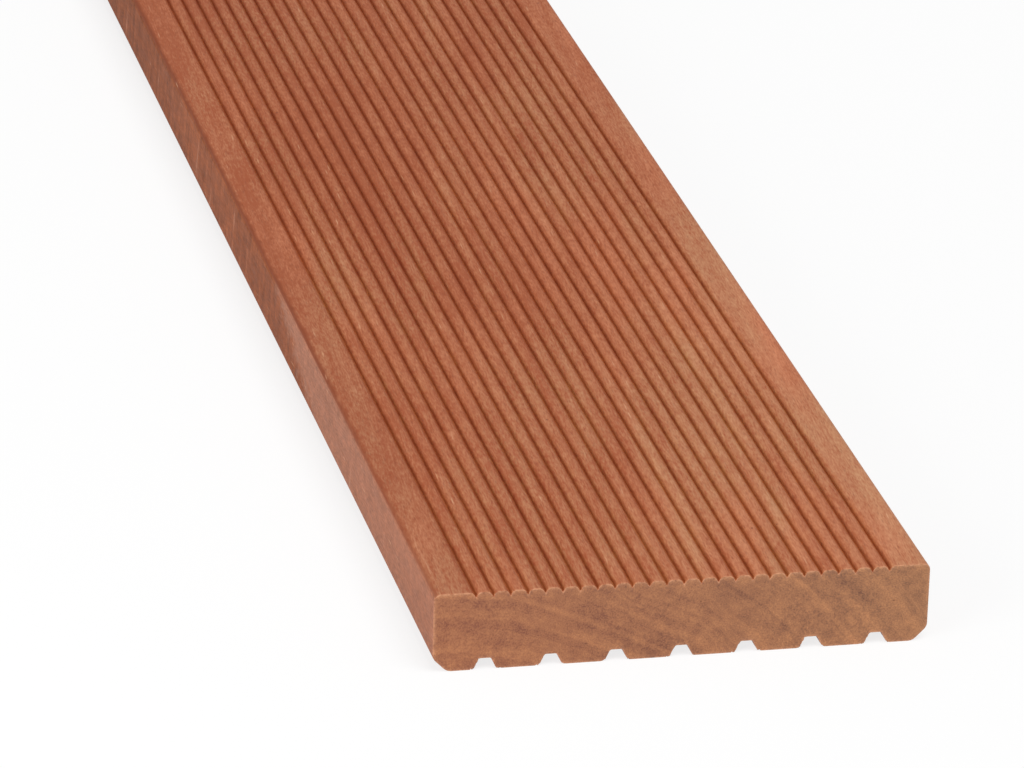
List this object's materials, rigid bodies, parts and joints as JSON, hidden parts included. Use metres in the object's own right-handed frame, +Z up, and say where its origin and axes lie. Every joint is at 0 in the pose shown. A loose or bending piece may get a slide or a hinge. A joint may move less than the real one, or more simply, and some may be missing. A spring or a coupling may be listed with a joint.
{
  "type": "decking board",
  "caption": "Planed hardwood decking board with a fine-ribbed anti-slip walking face, eased edges and broad ventilation grooves along its underside.",
  "frame": {"origin": "middle of the board's underside, halfway along its length and width", "axes": "+X across the board, +Y along the board and its grain, +Z up out of the fine-ribbed walking face"},
  "size_m": [0.145, 1.83, 0.024],
  "materials": {
    "hardwood": "planed, unoiled"
  },
  "bodies": {
    "root": {"decking_board": "hardwood"}
  },
  "joints": []
}
